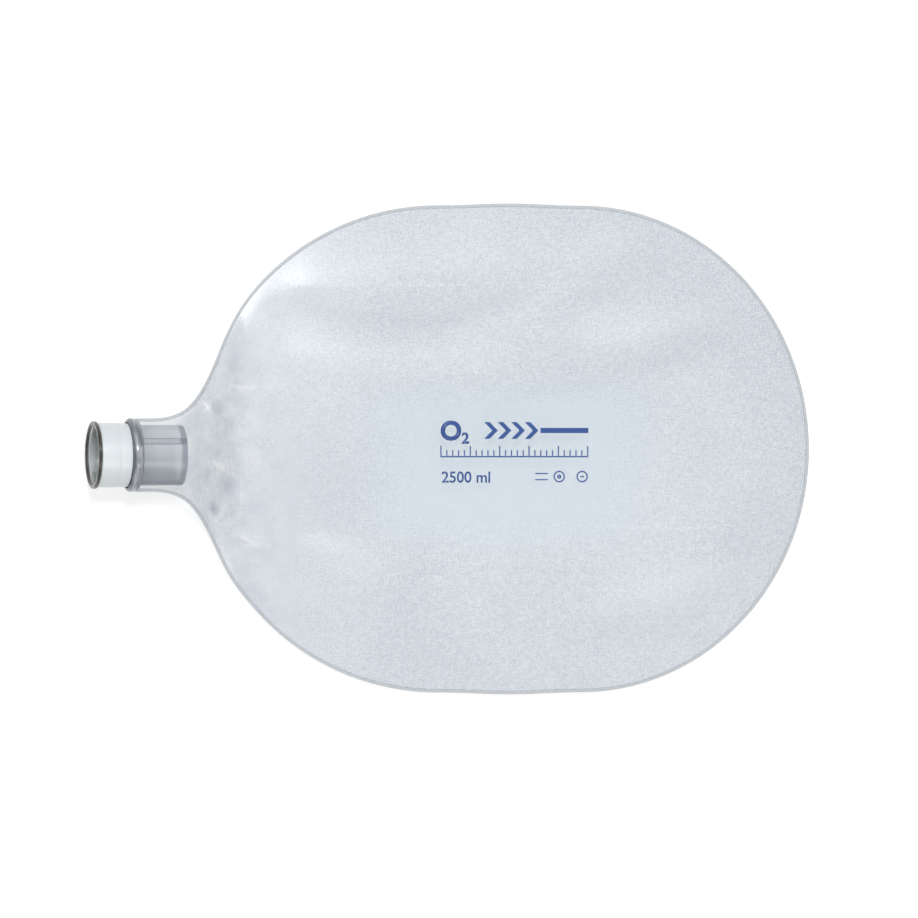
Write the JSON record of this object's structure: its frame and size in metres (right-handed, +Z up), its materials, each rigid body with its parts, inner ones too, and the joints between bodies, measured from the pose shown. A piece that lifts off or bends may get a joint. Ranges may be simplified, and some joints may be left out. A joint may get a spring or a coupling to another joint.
{
  "type": "oxygen reservoir bag",
  "caption": "Flat welded film reservoir bag of a bag valve mask, with a clamped neck and a rigid flanged mouth connector.",
  "frame": {"origin": "middle of the bounding box's base, on the surface that the bag lies on", "axes": "+X runs from the connector's mouth to the bag's round end, +Y across the bag, +Z up from the surface; the printed front film faces +Z"},
  "size_m": [0.347, 0.2288, 0.0347],
  "materials": {
    "bag_film": "clear soft film with a fine embossed grain",
    "welded_margin": "smooth fused film",
    "cuff": "glossy translucent grey soft plastic",
    "liner": "semi-gloss translucent grey film",
    "clear_tube": "clear, slightly smoky moulded plastic",
    "white_collar": "satin white moulded plastic"
  },
  "bodies": {
    "bag": {"front_film": "bag_film", "back_film": "bag_film", "edge_weld": "welded_margin"},
    "neck": {"neck_front_film": "bag_film", "neck_back_film": "bag_film", "neck_weld_upper": "welded_margin", "neck_weld_lower": "welded_margin", "neck_cuff": "cuff", "neck_liner": "liner"},
    "connector": {"mouth_tube": "clear_tube"},
    "collar": {"collar_ring": "white_collar"}
  },
  "joints": [
    {"name": "neck_bend", "type": "hinge", "parent": "bag", "child": "neck", "pos_m": [-0.099, 0, 0.0066], "axis": [0, 1, 0], "range_deg": [0, 60]},
    {"name": "connector_pull", "type": "slide", "parent": "neck", "child": "connector", "axis": [-1, 0, 0], "range_m": [0, 0.03]},
    {"name": "collar_turn", "type": "hinge", "parent": "connector", "child": "collar", "pos_m": [-0.1645, -0.0029, 0.0174], "axis": [1, 0, 0], "continuous": true}
  ]
}
